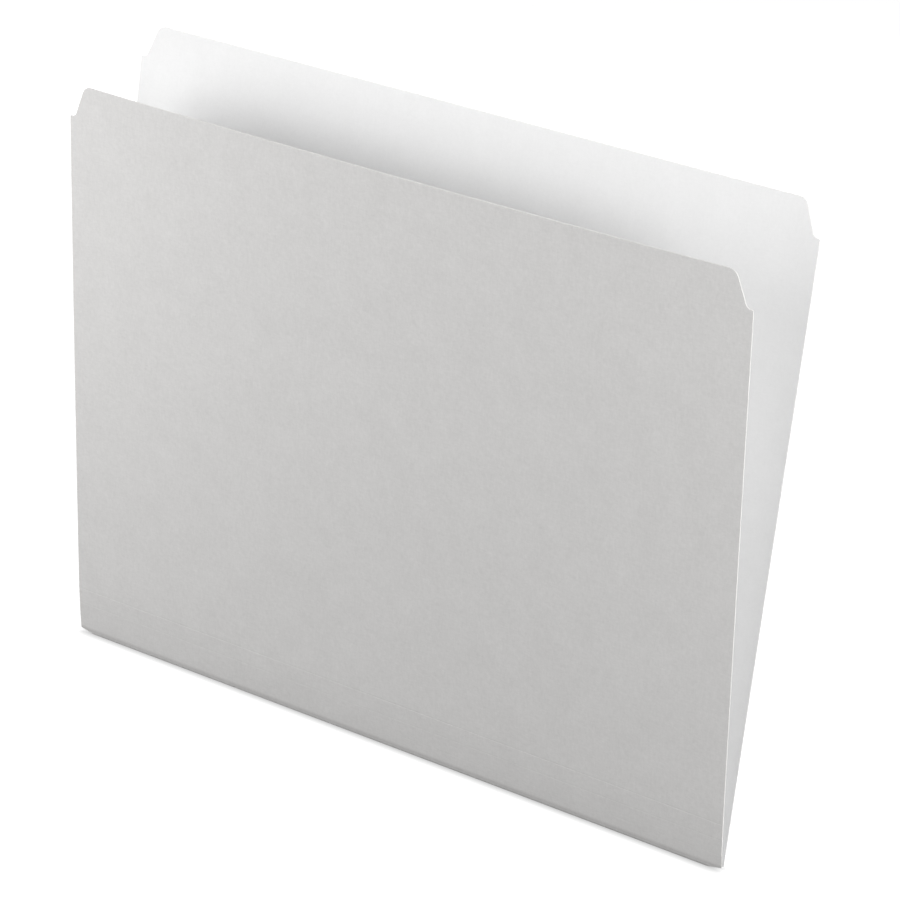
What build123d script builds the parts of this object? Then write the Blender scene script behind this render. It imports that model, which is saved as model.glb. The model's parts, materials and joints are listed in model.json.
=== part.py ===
from build123d import *
import os
from math import cos, radians, sin

os.makedirs("parts", exist_ok=True)

# Sheet: one die-cut piece of file board, sizes along the sheet in millimetres
board = 0.28
sheet_width = 295.3
back_height = 241.3
front_height = 225.4

# Full-width tab at the top of each leaf
tab_height = 12.7
tab_top_inset = 7.4
tab_foot_inset = 2.4
tab_corner_radius = 4.0
tab_foot_radius = 2.4
shoulder_radius = 0.6

# Main fold: a rounded crease between the two leaves, shorter than the sheet by a relief at each end
fold_gap = 0.84
relief_length = 6.5
foot_corner_radius = 0.6

# Expansion scores on the front leaf, counted from the main fold upwards
score_names = ["lower", "middle", "upper"]
score_pitch = 6.35
score_radius = 0.28

# Free space between a crease and the board that turns about it
turning_gap = 0.05

# Resting pose: leans from upright and the inward bend at each score, in degrees
back_lean_degrees = 5.0
front_lean_degrees = 5.4
score_bend_degrees = 1.1

# Values that follow from the sizes above
half_width = sheet_width / 2
fold_radius = fold_gap / 2 + board
fold_edge = fold_radius + turning_gap
score_edge = score_radius + turning_gap
crease_length = sheet_width - 2 * relief_length
foot_lean_degrees = front_lean_degrees + score_bend_degrees * len(score_names)


def up_along(lean):
    """Unit vector up a leaf that leans towards +Y by the given degrees."""
    return Vector(0, sin(radians(lean)), cos(radians(lean)))


def towards_front(lean):
    """Unit normal of that leaf on its front side."""
    return Vector(0, -cos(radians(lean)), sin(radians(lean)))


def leaf_plane(origin, lean):
    """Sketch plane of a leaf: X along the fold, Y up the leaf, Z towards the front."""
    return Plane(origin=origin, x_dir=(1, 0, 0), z_dir=towards_front(lean))


def mirrored_outline(right_side):
    """Closed face from (x, y, corner radius) points that run up its right side, mirrored to the left."""
    left_side = [(-x, y, radius) for x, y, radius in reversed(right_side)]
    corners = right_side + left_side
    outline = Polyline(*[(x, y) for x, y, radius in corners], close=True)
    face = make_face(outline)
    for x, y, radius in corners:
        if radius > 0:
            vertex = face.vertices().sort_by_distance((x, y, 0))[0]
            face = fillet(vertex, radius)
    return face


def rounded_foot(bottom):
    """Lower right corner point of a piece beside the main fold."""
    return [(half_width, bottom, foot_corner_radius)]


def square_foot(bottom):
    """Lower right corner point of a piece that starts at a score."""
    return [(half_width, bottom, 0)]


def tab_head(top):
    """Upper right corner points of a leaf: shoulder, foot of the tab's slant and the tab's corner."""
    shoulder = top - tab_height
    return [
        (half_width, shoulder, shoulder_radius),
        (half_width - tab_foot_inset, shoulder, tab_foot_radius),
        (half_width - tab_top_inset, top, tab_corner_radius),
    ]


def square_head(top):
    """Upper right corner point of a strip that ends at a score."""
    return [(half_width, top, 0)]


def section_plane(axis_point):
    """Plane across the fold at its middle: X towards the back, Y up."""
    return Plane(origin=axis_point, x_dir=(0, 1, 0), z_dir=(1, 0, 0))


def score_bead(axis_point):
    """Round bead of pressed board along a score, as long as the sheet is wide."""
    return section_plane(axis_point) * Cylinder(score_radius, sheet_width)


def rolled_fold(axis_point):
    """Board rolled about the fold's axis, from the foot of the front leaf under to the foot of the back leaf."""
    turn = 180 - back_lean_degrees - foot_lean_degrees
    middle = CenterArc((0, 0), fold_radius - board / 2, 180 + foot_lean_degrees, turn)
    section = section_plane(axis_point) * trace(middle, board)
    return extrude(section, amount=crease_length / 2, both=True)


# Chain of the front leaf, as if the fold's axis were at Y = 0: the lean and inner-face origin of each piece
lean = -foot_lean_degrees
inner = Vector(0, 0, fold_radius) + towards_front(lean) * (fold_gap / 2)
first_score = score_pitch - fold_radius
strip_starts = []
strip_tops = [first_score] + [score_pitch] * (len(score_names) - 1)
for top in strip_tops:
    strip_starts.append((inner, lean))
    inner = inner + up_along(lean) * top
    lean = lean + score_bend_degrees
panel_start = inner
panel_top = front_height - score_pitch * len(score_names)

# The fold sits where the whole box is centred on the origin
front_reach = -(panel_start + up_along(lean) * panel_top + towards_front(lean) * board).Y
back_origin = Vector(0, 0, fold_radius) - towards_front(back_lean_degrees) * fold_radius
back_top = back_height - fold_radius
back_reach = (back_origin + up_along(back_lean_degrees) * back_top).Y
fold_shift = Vector(0, (front_reach - back_reach) / 2, 0)
fold_axis = fold_shift + Vector(0, 0, fold_radius)

parts = {}

# Back leaf with its tab
back_face = mirrored_outline(rounded_foot(fold_edge) + tab_head(back_top))
parts["back_panel"] = extrude(leaf_plane(fold_shift + back_origin, back_lean_degrees) * back_face, amount=board)

# Main fold
parts["main_crease"] = rolled_fold(fold_axis)

# Strips between the scores, each with the crease at its upper edge
for name, (start, strip_lean), top in zip(score_names, strip_starts, strip_tops):
    foot = rounded_foot(fold_edge) if name == score_names[0] else square_foot(score_edge)
    face = mirrored_outline(foot + square_head(top - score_edge))
    origin = fold_shift + start
    parts["front_strip_" + name] = extrude(leaf_plane(origin, strip_lean) * face, amount=board)
    parts["score_crease_" + name] = score_bead(origin + up_along(strip_lean) * top)

# Front leaf above the scores, with its tab
front_face = mirrored_outline(square_foot(score_edge) + tab_head(panel_top))
parts["front_panel"] = extrude(leaf_plane(fold_shift + panel_start, lean) * front_face, amount=board)

for name, solid in parts.items():
    solid.label = name
    export_step(solid, os.path.join("parts", name + ".step"))

# Hinge lines, for whoever sets up the joints
print("main fold axis", [round(value, 4) for value in fold_axis])
for name, (start, strip_lean), top in zip(score_names, strip_starts, strip_tops):
    axis = fold_shift + start + up_along(strip_lean) * top
    print("score axis", name, [round(value, 4) for value in axis])
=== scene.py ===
import json
import bpy
import numpy as np
from mathutils import Matrix, Vector


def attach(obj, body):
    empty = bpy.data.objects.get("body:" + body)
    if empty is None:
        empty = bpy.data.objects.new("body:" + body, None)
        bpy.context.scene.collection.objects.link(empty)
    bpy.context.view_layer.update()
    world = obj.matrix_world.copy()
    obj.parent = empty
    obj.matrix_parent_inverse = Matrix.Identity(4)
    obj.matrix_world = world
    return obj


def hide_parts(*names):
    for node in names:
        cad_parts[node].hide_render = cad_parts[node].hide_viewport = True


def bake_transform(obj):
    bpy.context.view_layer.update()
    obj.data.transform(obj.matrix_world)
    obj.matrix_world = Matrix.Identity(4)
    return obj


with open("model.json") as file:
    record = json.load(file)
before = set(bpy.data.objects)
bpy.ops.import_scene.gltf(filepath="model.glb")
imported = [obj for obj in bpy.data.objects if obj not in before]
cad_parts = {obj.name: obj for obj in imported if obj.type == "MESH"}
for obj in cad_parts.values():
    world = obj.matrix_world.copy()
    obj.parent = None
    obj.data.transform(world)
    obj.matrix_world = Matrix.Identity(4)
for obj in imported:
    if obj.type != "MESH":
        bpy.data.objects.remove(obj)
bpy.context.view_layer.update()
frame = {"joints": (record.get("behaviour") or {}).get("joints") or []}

MM = 0.001

# Sheet, tab, fold and score sizes, as in the part's source
board = 0.28 * MM
half_width = 295.3 / 2 * MM
back_height = 241.3 * MM
front_height = 225.4 * MM
tab_height = 12.7 * MM
tab_top_inset = 7.4 * MM
tab_foot_inset = 2.4 * MM
tab_corner_radius = 4.0 * MM
tab_foot_radius = 2.4 * MM
shoulder_radius = 0.6 * MM
fold_gap = 0.84 * MM
relief_length = 6.5 * MM
score_names = ["lower", "middle", "upper"]
score_pitch = 6.35 * MM
score_radius = 0.28 * MM
turning_gap = 0.05 * MM

# Leans from upright and the inward bend at each score, in degrees
back_lean = 5.0
front_lean = 5.4
score_bend = 1.1

# Values that follow from the sizes above, and the fold's axis from the frame
fold_radius = fold_gap / 2 + board
fold_edge = fold_radius + turning_gap
score_edge = score_radius + turning_gap
foot_lean = front_lean + score_bend * len(score_names)
hinges = {joint["name"]: np.array(joint["pos_m"]) for joint in frame["joints"]}
fold_axis = hinges["back_fold"]
sideways = np.array([1, 0, 0])

# How far the ends of the leaves curl in, and the board's waves: their height, then each wave's radians
# per half width or per leaf height with its start, and the share of the height where they are in full
front_end_curl = 2.2 * MM
back_end_curl = 0.25 * MM
curl_power = 1.5
waviness = 0.08 * MM
wave_across, wave_across_start = 7.0, 0.8
wave_up, wave_up_start = 5.0, 0.4
full_waves_at = 1 / 3

# Pressed lines and cut edges. A crush goes from 0 for sound board to 1; the darker band along the main
# fold is partly crushed board and partly painted shade on the rolled fold
groove_depth = {"lower": 0.022 * MM, "middle": 0.032 * MM, "upper": 0.045 * MM}
ridge_height = 0.24 * MM
ridge_power = 1.5
crush_and_shade_reach = 1.3 * MM
under_fold_crush_and_shade = 0.2
cut_crown = 0.03 * MM
sharp_degrees = 40

# Mesh steps: along a leaf's outline and a strip's, and the columns across a board and a crease
leaf_step = 4 * MM
strip_step = 1 * MM
board_columns = 121
crease_columns = 61


# Shapes

def up_along(lean):
    """Unit vector up a leaf that leans towards +Y: sine and cosine of the lean along Y and Z."""
    turn = np.radians(lean)
    return np.stack([np.zeros_like(turn), np.sin(turn), np.cos(turn)], -1)


def towards_front(lean):
    """Unit normal of that leaf on its front side: minus cosine and sine of the lean along Y and Z."""
    turn = np.radians(lean)
    return np.stack([np.zeros_like(turn), -np.cos(turn), np.sin(turn)], -1)


def ease(x):
    """Smooth step from 0 to 1: three x squared less two x cubed, held flat outside."""
    x = np.clip(x, 0, 1)
    return x * x * (3 - 2 * x)


def crowded(columns):
    """Shares from -1 to 1, closer at the ends: the mean of even steps and the sine of a quarter turn
    per unit.
    """
    even = np.linspace(-1, 1, columns)
    return (even + np.sin(even * np.pi / 2)) / 2


def side_outline(corners, step, arc_steps=12):
    """Right-hand outline, foot to head, as (half width, height) rows.

    Each corner (x, height, radius) gives way to the arc that touches both of its sides. The straight
    runs between arcs are cut into equal steps.
    """
    points = np.array([(0, corners[0][1])] + [c[:2] for c in corners] + [(0, corners[-1][1])])
    runs = np.diff(points, axis=0)
    runs = runs / np.linalg.norm(runs, axis=1, keepdims=True)
    path = []
    for (x, y, radius), into, out in zip(corners, runs[:-1], runs[1:]):
        turn = np.arctan2(into[0] * out[1] - into[1] * out[0], into @ out)
        side = np.sign(turn) * np.array([-into[1], into[0]])
        start = np.array([x, y]) - into * radius * np.tan(abs(turn) / 2)
        swing = np.linspace(0, turn, arc_steps + 1 if radius else 1)[:, None]
        spokes = side * np.cos(swing) + np.array([-side[1], side[0]]) * np.sin(swing)
        arc = start + side * radius - radius * spokes
        if path:
            gap = np.linalg.norm(arc[0] - path[-1][-1])
            share = np.linspace(0, 1, int(np.ceil(gap / step)) + 1)[1:-1, None]
            path.append(path[-1][-1] * (1 - share) + arc[0] * share)
        path.append(arc)
    return np.concatenate(path)


def sheet_grid(side, least_rise=0.12 * MM, side_zone=0.1):
    """Grid over a mirrored outline: (across, up, distance from a cut edge), one row per outline point.

    Across is the row's half width times the columns' shares. Inside, up is the outline's rise with a
    least rise per row, rescaled to the same ends, so that a level shoulder doesn't flatten rows onto
    it. In the zone along each side it goes over to the outline's own height, as the square of the way
    through that zone.
    """
    width, height = side[:, :1], side[:, 1:]
    share = crowded(board_columns)[None]
    rise = np.maximum(np.diff(height, axis=0), least_rise)
    inside = np.concatenate([np.zeros((1, 1)), np.cumsum(rise, axis=0)])
    inside = height[0] + inside / inside[-1] * (height[-1] - height[0])
    near_side = np.clip((np.abs(share) - (1 - side_zone)) / side_zone, 0, 1) ** 2
    across = width * share
    up = inside * (1 - near_side) + height * near_side
    return across, up, width - np.abs(across)


def make_piece(name, points, faces, slots, materials, on_points):
    """Object at the origin from points, faces, a material slot per face and named values per point."""
    mesh = bpy.data.meshes.new(name)
    mesh.from_pydata(points, [], faces.tolist())
    mesh.polygons.foreach_set("material_index", slots.astype(np.int32))
    for material in materials:
        mesh.materials.append(material)
    for key, values in on_points.items():
        mesh.attributes.new(key, "FLOAT", "POINT").data.foreach_set("value", values.astype(np.float32))
    mesh.shade_smooth()
    mesh.set_sharp_from_angle(angle=np.radians(sharp_degrees))
    piece = bpy.data.objects.new(name, mesh)
    bpy.context.scene.collection.objects.link(piece)
    return piece


def closed_sheet(name, outer, inner, from_cut, materials, fold_crush_and_shade=0.0):
    """Mesh of two matching grids joined all round by a crowned cut edge.

    The edge's middle line is half way between the two faces, moved out along the cross product of the
    rim's own direction and the board's normal. Faces are turned round if the volume that they enclose
    comes out negative. The distance from a cut edge and the darker band along the main fold, partly
    crush and partly painted shade, go with the points for the finishes to read.
    """
    rows, columns = outer.shape[:2]
    count = rows * columns
    index = np.arange(count).reshape(rows, columns)
    quads = np.stack([index[:-1, :-1], index[:-1, 1:], index[1:, 1:], index[1:, :-1]], -1).reshape(-1, 4)
    ring = np.concatenate([index[0, :-1], index[:-1, -1], index[-1, :0:-1], index[:0:-1, 0]])
    outer, inner = outer.reshape(-1, 3), inner.reshape(-1, 3)
    middle = (outer[ring] + inner[ring]) / 2
    away = np.cross(np.roll(middle, -1, 0) - np.roll(middle, 1, 0), outer[ring] - inner[ring])
    away = away / np.linalg.norm(away, axis=1, keepdims=True)
    points = np.concatenate([outer, inner, middle + away * cut_crown])

    crown = 2 * count + np.arange(len(ring))
    next_ring, next_crown = np.roll(ring, -1), np.roll(crown, -1)
    rim_out = np.stack([next_ring, ring, crown, next_crown], -1)
    rim_in = np.stack([next_crown, crown, ring + count, next_ring + count], -1)
    faces = np.concatenate([quads, quads[:, ::-1] + count, rim_out, rim_in])
    slots = np.repeat([0, 1, 2], [len(quads), len(quads), 2 * len(ring)])
    a, b, c, d = (points[faces[:, k]] for k in range(4))
    volume = np.einsum("ij,ij->i", a, np.cross(b, c) + np.cross(c, d)).sum()
    faces = faces if volume > 0 else faces[:, ::-1]

    from_cut = np.broadcast_to(from_cut, (rows, columns)).ravel()
    fold_crush_and_shade = np.broadcast_to(fold_crush_and_shade, (rows, columns)).ravel()
    on_points = {"from_cut": np.concatenate([from_cut, from_cut, np.zeros(len(ring))]),
                 "fold_crush_and_shade": np.concatenate([fold_crush_and_shade, fold_crush_and_shade, fold_crush_and_shade[ring]])}
    return make_piece(name, points, faces, slots, materials, on_points)


def flat_piece(name, foot, lean, outward, side, materials, curl=0.0, top_cut=False, foot_crush_and_shade=0.0):
    """Board between two creases: foot plus across along X plus up along the leaf, curled inwards.

    The curl grows with the square of the distance from the middle and a power of the height. A slow
    product of two sine waves plus one, never below zero, stands for the waves of a curled board. A
    foot beside the main fold is darkened, partly as crushed board and partly as painted shade, and
    that eases off upwards.
    """
    across, up, from_cut = sheet_grid(side)
    if top_cut:
        from_cut = np.minimum(from_cut, side[-1, 1] - up)
    spread = across / half_width
    climb = np.clip((up - side[0, 1]) / (side[-1, 1] - side[0, 1]), 0, 1)
    depth = curl * spread ** 2 * climb ** curl_power
    if curl:
        wave = np.sin(spread * wave_across + wave_across_start) * np.sin(climb * wave_up + wave_up_start)
        depth = depth + waviness / 2 * (1 + wave) * ease(climb / full_waves_at)
    outer = foot + across[..., None] * sideways + up[..., None] * up_along(lean)
    outer = outer - depth[..., None] * outward
    fold_crush_and_shade = foot_crush_and_shade * (1 - ease((up - side[0, 1]) / crush_and_shade_reach))
    return closed_sheet(name, outer, outer - board * outward, from_cut, materials, fold_crush_and_shade)


def score_piece(name, axis, lower_lean, upper_lean, groove, materials, steps=17):
    """Pressed line between two strips: a groove outside, a squared cosine, and a ridge inside, a power
    of the same.

    Along the height the lean eases from the lower strip's to the upper strip's, and each end lies on
    the strip it meets.
    """
    height = np.linspace(-1, 1, steps)
    lean = lower_lean + (upper_lean - lower_lean) * ease((height + 1) / 2)
    swell = np.cos(height * np.pi / 2) ** 2
    line = axis + (height * score_edge)[:, None] * up_along(lean)
    inner = line - (swell ** ridge_power * ridge_height)[:, None] * towards_front(lean)
    outer = line + (board - swell * groove)[:, None] * towards_front(lean)
    across = crowded(crease_columns) * half_width
    spread = across[None, :, None] * sideways
    from_cut = half_width - np.abs(across)[None]
    return closed_sheet(name, outer[:, None] + spread, inner[:, None] + spread, from_cut, materials)


def fold_piece(name, lean, side, materials, arc_steps=24, climb_steps=5):
    """Half of the rolled fold: an arc from straight below the axis to the leaf's foot, then up the leaf.

    A point of the arc is the axis plus the radius times sine and minus cosine of its angle, on the
    side given as -1 for the front and 1 for the back. The ends slant: the length falls short of the
    sheet by the relief at the lowest line, and by none of it where the leaf starts. The darkening,
    partly crush and partly painted shade, grows from the underside up to the leaf.
    """
    end = np.pi / 2 + side * np.radians(-lean)
    angle = np.concatenate([np.linspace(0, end, arc_steps), np.full(climb_steps, end)])
    climb = np.concatenate([np.zeros(arc_steps), np.linspace(0, fold_edge, climb_steps + 1)[1:]])
    spoke = np.stack([0 * angle, side * np.sin(angle), -np.cos(angle)], -1)
    line = fold_axis + climb[:, None] * up_along(lean)
    outer = line + spoke * fold_radius
    inner = line + spoke * (fold_radius - board)
    height = ((outer[:, 2] - outer[0, 2]) / (outer[-1, 2] - outer[0, 2]))[:, None]
    reach = half_width - relief_length * (1 - height)
    across = reach * crowded(crease_columns)
    spread = across[..., None] * sideways
    from_cut = reach - np.abs(across)
    fold_crush_and_shade = under_fold_crush_and_shade + (1 - under_fold_crush_and_shade) * ease(height)
    return closed_sheet(name, outer[:, None] + spread, inner[:, None] + spread, from_cut, materials,
                        fold_crush_and_shade)


# Finishes

class Tone:
    """A shader socket that takes part in sums as a number does: each operator adds a Math node."""

    def __init__(self, tree, socket=None):
        self.tree = tree
        self.socket = socket

    def node(self, kind, settings=None, values=None, output=0):
        """Adds a node of that kind: its settings first, then values or links for its sockets."""
        made = self.tree.nodes.new("ShaderNode" + kind)
        for key, setting in (settings or {}).items():
            setattr(made, key, setting)
        for key, value in (values or {}).items():
            if isinstance(value, Tone):
                self.tree.links.new(value.socket, made.inputs[key])
            else:
                made.inputs[key].default_value = value
        return Tone(self.tree, made.outputs[output])

    def math(self, operation, first, second):
        """Math node of two values or links."""
        return self.node("Math", {"operation": operation}, {0: first, 1: second})

    def __add__(self, other):
        return self.math("ADD", self, other)

    def __sub__(self, other):
        return self.math("SUBTRACT", self, other)

    def __rsub__(self, other):
        return self.math("SUBTRACT", other, self)

    def __mul__(self, other):
        return self.math("MULTIPLY", self, other)

    __radd__ = __add__
    __rmul__ = __mul__

    def step(self, low, high):
        """Smooth step of the value from 0 at low to 1 at high."""
        return self.node("MapRange", {"interpolation_type": "SMOOTHSTEP"}, {0: self, 1: low, 2: high})

    def mix(self, first, second):
        """Colour that goes from the first to the second as the value goes from 0 to 1."""
        return self.node("Mix", {"data_type": "RGBA"}, {0: self, 6: first, 7: second}, 2)


def linear(red, green, blue):
    """Linear colour of an 8-bit screen colour, by the usual power law with its straight foot."""
    level = np.array([red, green, blue]) / 255
    level = np.where(level <= 0.04045, level / 12.92, ((level + 0.055) / 1.055) ** 2.4)
    return (*level.tolist(), 1.0)


def grey(level):
    """Linear colour of one level in all three channels."""
    return (level, level, level, 1.0)


def new_finish(name):
    """New material, with a starting point for its nodes."""
    material = bpy.data.materials.new(name)
    material.use_nodes = True
    return material, Tone(material.node_tree)


# Board texture: each noise's squeeze along X, Y and Z, its scale per metre and its detail
long_fibres = ((0.32, 1.0, 1.0), 1500.0, 3.0)
upright_fibres = ((1.0, 1.0, 0.38), 1300.0, 3.0)
flecks = ((1.0, 1.0, 1.0), 700.0, 2.0)
soft_clouds = ((1.0, 1.0, 1.0), 95.0, 4.0)
noise_roughness = 0.6

# What the noises do: where flecks start and are in full, how dark they are, where a rubbed edge keeps
# its fibres, how far a rub reaches, how much of the crushed and painted-shade colour shows, the relief
# and the spread of roughness
fleck_range = (0.66, 0.74)
fleck_depth = 0.12
rubbed_range = (0.35, 0.6)
rubbed_width = 0.3 * MM
crush_and_shade_shown, crush_and_shade_least = 0.5, 0.1
relief_depth = 0.06 * MM
fleck_relief = 0.6
roughness_spread = 0.16
board_shine = 0.22


def board_finish(name, deep, pale, edge, crushed_and_shaded, grain, clouds, roughness, bump):
    """Fibre board: fine fibres in two directions over soft clouds, with dark flecks.

    Fibres are noise squeezed along one axis of the sheet, once each way, and their mean moves the
    colour between deep and pale. The bump follows the same fibres. Near a cut edge the colour goes
    over to the edge's, and along the main fold to the crushed one, a darker colour that is partly
    crushed board and partly painted shade.
    """
    material, start = new_finish(name)
    place = start.node("TexCoord", output="Object")

    def noise(squeeze, scale, detail):
        squeezed = start.node("Mapping", {}, {0: place, 3: squeeze})
        return start.node("TexNoise", {}, {"Vector": squeezed, "Scale": scale, "Detail": detail,
                                           "Roughness": noise_roughness})

    along = noise(*long_fibres)
    across = noise(*upright_fibres)
    fleck = noise(*flecks)
    cloud = noise(*soft_clouds)
    fibre = (along + across) * 0.5
    dark_fleck = (1 - fleck).step(*fleck_range)
    mottle = (fibre - 0.5) * grain + (cloud - 0.5) * clouds - dark_fleck * fleck_depth + 0.5
    colour = mottle.mix(deep, pale)
    from_cut = start.node("Attribute", {"attribute_name": "from_cut"}, output="Fac")
    rubbed = (1 - from_cut.step(0.0, rubbed_width)) * (along.step(*rubbed_range) * 0.5 + 0.5)
    colour = rubbed.mix(colour, edge)
    # Darker along the main fold: partly crushed board, partly painted shade on the rolled fold and its foot
    fold_crush_and_shade = start.node("Attribute", {"attribute_name": "fold_crush_and_shade"}, output="Fac")
    colour = (fold_crush_and_shade * (along * crush_and_shade_shown + crush_and_shade_least)).mix(colour, crushed_and_shaded)
    relief = start.node("Bump", {}, {"Strength": bump, "Distance": relief_depth,
                                     "Height": fibre + fleck * fleck_relief}, "Normal")

    tree = material.node_tree
    shader = tree.nodes["Principled BSDF"]
    tree.links.new(colour.socket, shader.inputs["Base Color"])
    tree.links.new((fibre * roughness_spread + roughness).socket, shader.inputs["Roughness"])
    tree.links.new(relief.socket, shader.inputs["Normal"])
    shader.inputs["Specular IOR Level"].default_value = board_shine
    return material


# Each crushed colour is partly crushed board and partly painted shade along the main fold
grey_outside = board_finish(
    "grey_outside", deep=linear(189, 188, 187), pale=linear(214, 213, 212), edge=linear(216, 215, 213),
    crushed_and_shaded=linear(130, 129, 128), grain=1.1, clouds=0.35, roughness=0.78, bump=0.35)
pale_inside = board_finish(
    "pale_inside", deep=linear(210, 210, 210), pale=linear(222, 222, 222), edge=linear(234, 234, 233),
    crushed_and_shaded=linear(190, 190, 189), grain=0.9, clouds=0.4, roughness=0.8, bump=0.25)
pale_cut = board_finish(
    "pale_cut", deep=linear(194, 193, 191), pale=linear(213, 212, 210), edge=linear(209, 208, 206),
    crushed_and_shaded=linear(190, 189, 188), grain=1.2, clouds=0.4, roughness=0.85, bump=0.5)
finishes = [grey_outside, pale_inside, pale_cut]


# Pieces. Each crease's piece is handed two ends just inside its own edges, at these shares of its reach
score_blend = 0.96
fold_blend = 0.97


def crush_and_shade_foot(bottom):
    """Right side of a piece beside the main fold: its lower corner and the top of its darker band, partly
    crushed board and partly painted shade.
    """
    return [(half_width, bottom, 0), (half_width, bottom + crush_and_shade_reach, 0)]


def square_foot(bottom):
    """Lower right corner of a piece that starts at a score."""
    return [(half_width, bottom, 0)]


def square_head(top):
    """Upper right corner of a strip that ends at a score."""
    return [(half_width, top, 0)]


def tab_head(top):
    """Upper right corners of a leaf: shoulder, foot of the tab's slant and the tab's corner."""
    return [(half_width, top - tab_height, shoulder_radius),
            (half_width - tab_foot_inset, top - tab_height, tab_foot_radius),
            (half_width - tab_top_inset, top, tab_corner_radius)]


def dress(piece, node, body, other=None, start=None, end=None):
    """The piece stands for a node, whose own part is hidden, and moves with one body, or stays in place
    when a second body is given.
    """
    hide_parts(node)
    if other is None:
        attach(piece, body)
    else:
        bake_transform(piece)


# Back leaf with its tab
back_out = -towards_front(back_lean)
back_side = side_outline(crush_and_shade_foot(fold_edge) + tab_head(back_height - fold_radius), leaf_step)
back_sheet = flat_piece("back_sheet", fold_axis + back_out * fold_radius, back_lean, back_out, back_side,
                        finishes, curl=back_end_curl, top_cut=True, foot_crush_and_shade=1.0)
dress(back_sheet, "back_panel", "back_leaf")

# Strips up from the main fold, each with the score at its upper edge
lean = -foot_lean
inner_foot = fold_axis + towards_front(lean) * (fold_gap / 2)
bodies_above = ["strip_" + name for name in score_names[1:]] + ["front_leaf"]
for name, body_above in zip(score_names, bodies_above):
    outward = towards_front(lean)
    lowest = name == score_names[0]
    top = score_pitch - fold_radius if lowest else score_pitch
    foot = crush_and_shade_foot(fold_edge) if lowest else square_foot(score_edge)
    side = side_outline(foot + square_head(top - score_edge), strip_step)
    strip = flat_piece("strip_sheet_" + name, inner_foot + outward * board, lean, outward, side, finishes,
                       foot_crush_and_shade=1.0 if lowest else 0.0)
    dress(strip, "front_strip_" + name, "strip_" + name)
    axis = inner_foot + up_along(lean) * top
    score = score_piece("score_line_" + name, axis, lean, lean + score_bend, groove_depth[name], finishes)
    reach = up_along(lean + score_bend / 2) * score_edge * score_blend
    dress(score, "score_crease_" + name, "strip_" + name, body_above, axis - reach, axis + reach)
    lean = lean + score_bend
    inner_foot = axis

# Front leaf above the scores, with its tab
front_out = towards_front(lean)
front_top = front_height - score_pitch * len(score_names)
front_side = side_outline(square_foot(score_edge) + tab_head(front_top), leaf_step)
front_sheet = flat_piece("front_sheet", inner_foot + front_out * board, lean, front_out, front_side,
                         finishes, curl=front_end_curl, top_cut=True)
dress(front_sheet, "front_panel", "front_leaf")

# Main fold, in two halves that meet straight below its axis
below_axis = fold_axis * np.array([1, 1, 0])
fold_halves = [("fold_back", back_lean, 1, "back_leaf"), ("fold_front", -foot_lean, -1, "strip_lower")]
for name, lean, side, body in fold_halves:
    half_fold = fold_piece(name, lean, side, finishes)
    reach = side * (fold_radius - board) * np.cos(np.radians(lean)) * fold_blend
    dress(half_fold, "main_crease", "fold", body, below_axis, below_axis + np.array([0, reach, 0]))


# Stage, light and camera

def seen_directly(start):
    """1 for rays from the camera and for what a mirror or a window shows of them, else 0."""
    mirrored = start.math("MAXIMUM", start.node("LightPath", output="Is Glossy Ray"),
                          start.node("LightPath", output="Is Transmission Ray"))
    return start.math("MAXIMUM", start.node("LightPath", output="Is Camera Ray"), mirrored)


def floor_finish(bounced=0.15, lit=0.2, shown=0.95, painted_contact_shadow=0.05, contact=5 * MM):
    """White ground: a plain diffuse sheet, which the camera sees brighter.

    To the camera it glows at the shown level, and less where the board is close above it, as ambient
    occlusion gives: a painted contact shadow. It takes the object's shadow on top of that.
    """
    material, start = new_finish("white_ground")
    tree = material.node_tree
    ground = start.node("BsdfDiffuse", {}, {"Color": grey(bounced)})
    # Ambient occlusion darkens the glow near the board: a painted contact shadow
    clear = start.node("AmbientOcclusion", {"samples": 16}, {"Distance": contact}, "AO")
    glow = start.node("Emission", {}, {"Color": clear.mix(grey(painted_contact_shadow), grey(shown)), "Strength": 1.0})
    bright = start.node("AddShader", {}, {0: glow, 1: start.node("BsdfDiffuse", {}, {"Color": grey(lit)})})
    surface = start.node("MixShader", {}, {0: seen_directly(start), 1: ground, 2: bright})
    tree.links.new(surface.socket, tree.nodes["Material Output"].inputs["Surface"])
    return material


def make_floor(reach=3.0, drop=0.02 * MM):
    """Level square just under the fold."""
    mesh = bpy.data.meshes.new("floor")
    corners = np.array([(-1, -1), (1, -1), (1, 1), (-1, 1)]) * reach
    mesh.from_pydata(np.c_[corners, np.full(4, -drop)], [], [(0, 1, 2, 3)])
    mesh.materials.append(floor_finish())
    floor = bpy.data.objects.new("floor", mesh)
    bpy.context.scene.collection.objects.link(floor)


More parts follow.
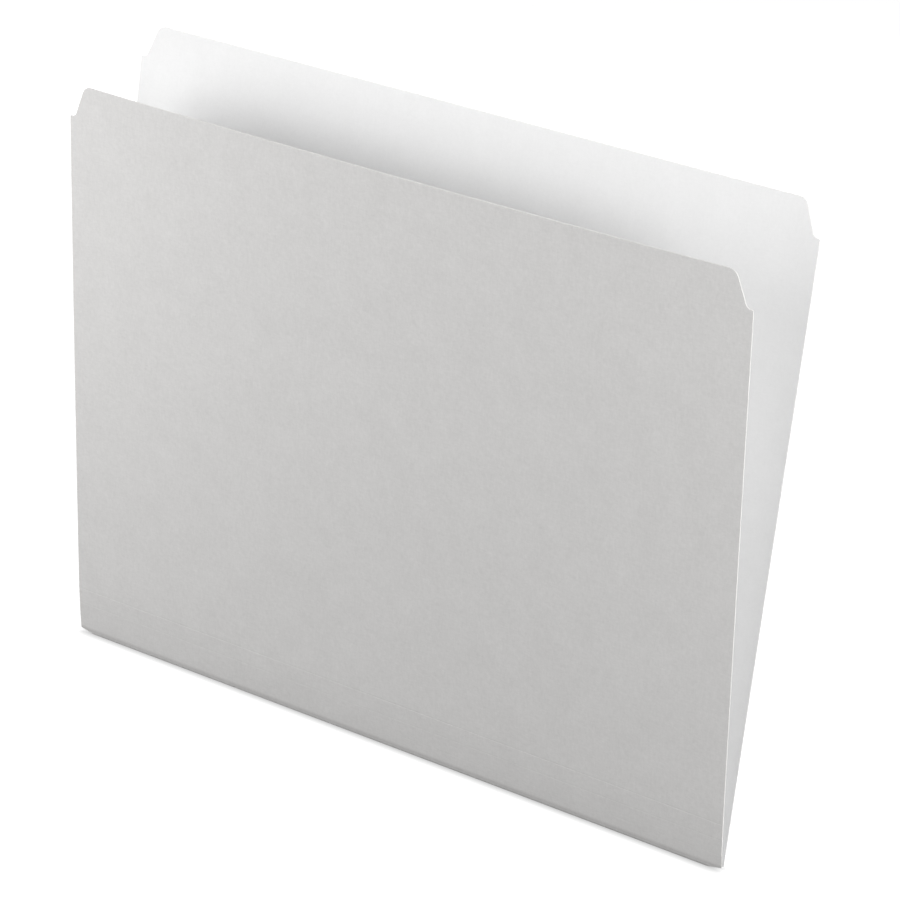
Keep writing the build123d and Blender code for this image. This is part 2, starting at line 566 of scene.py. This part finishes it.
def area_lamp(name, place, aim, size, power):
    """Soft square lamp at a place, turned to its aim."""
    light = bpy.data.lights.new(name, "AREA")
    light.size = size
    light.energy = power
    lamp = bpy.data.objects.new(name, light)
    lamp.location = place
    lamp.visible_camera = False
    lamp.rotation_euler = (Vector(aim) - Vector(place)).to_track_quat("-Z", "Y").to_euler()
    bpy.context.scene.collection.objects.link(lamp)


def make_world(level):
    """Even white surround: at the given level for light, and plain white to the camera."""
    world = bpy.data.worlds.new("studio")
    bpy.context.scene.world = world
    world.use_nodes = True
    start = Tone(world.node_tree)
    sky = world.node_tree.nodes["Background"]
    sky.inputs["Color"].default_value = (1, 1, 1, 1)
    strength = seen_directly(start) * (1 - level) + level
    world.node_tree.links.new(strength.socket, sky.inputs["Strength"])


def make_camera(place, aim, lens, roll):
    """Camera at a place, looking at its aim and rolled about its line of sight, in degrees."""
    data = bpy.data.cameras.new("camera")
    data.lens = lens
    data.sensor_width = 36
    data.clip_start, data.clip_end = 0.05, 20
    camera = bpy.data.objects.new("camera", data)
    look = (Vector(aim) - Vector(place)).to_track_quat("-Z", "Y").to_matrix()
    turn = look @ Matrix.Rotation(np.radians(roll), 3, "Z")
    camera.matrix_world = Matrix.Translation(Vector(place)) @ turn.to_4x4()
    bpy.context.scene.collection.objects.link(camera)
    bpy.context.scene.camera = camera


make_floor()
make_world(level=0.2)
area_lamp("left_lamp", (-0.44, -0.40, 0.28), (-0.05, 0, 0.14), size=0.4, power=3.0)
area_lamp("right_lamp", (0.92, -0.42, 0.42), (0.02, 0, 0.18), size=0.4, power=9.9)
area_lamp("rear_left_lamp", (-0.60, 0.95, 0.15), (0, 0, 0.12), size=0.5, power=7.0)
area_lamp("rear_right_lamp", (0.85, 0.60, 0.14), (0, 0, 0.12), size=0.5, power=9.5)
area_lamp("top_lamp", (0.02, 0, 0.45), (-0.02, 0, 0.20), size=0.2, power=0.5)
make_camera((0.75199, -1.07260, 0.61178), (0.01912, 0, 0.12191), lens=155.897, roll=4.414)
bpy.context.scene.view_settings.view_transform = "Standard"
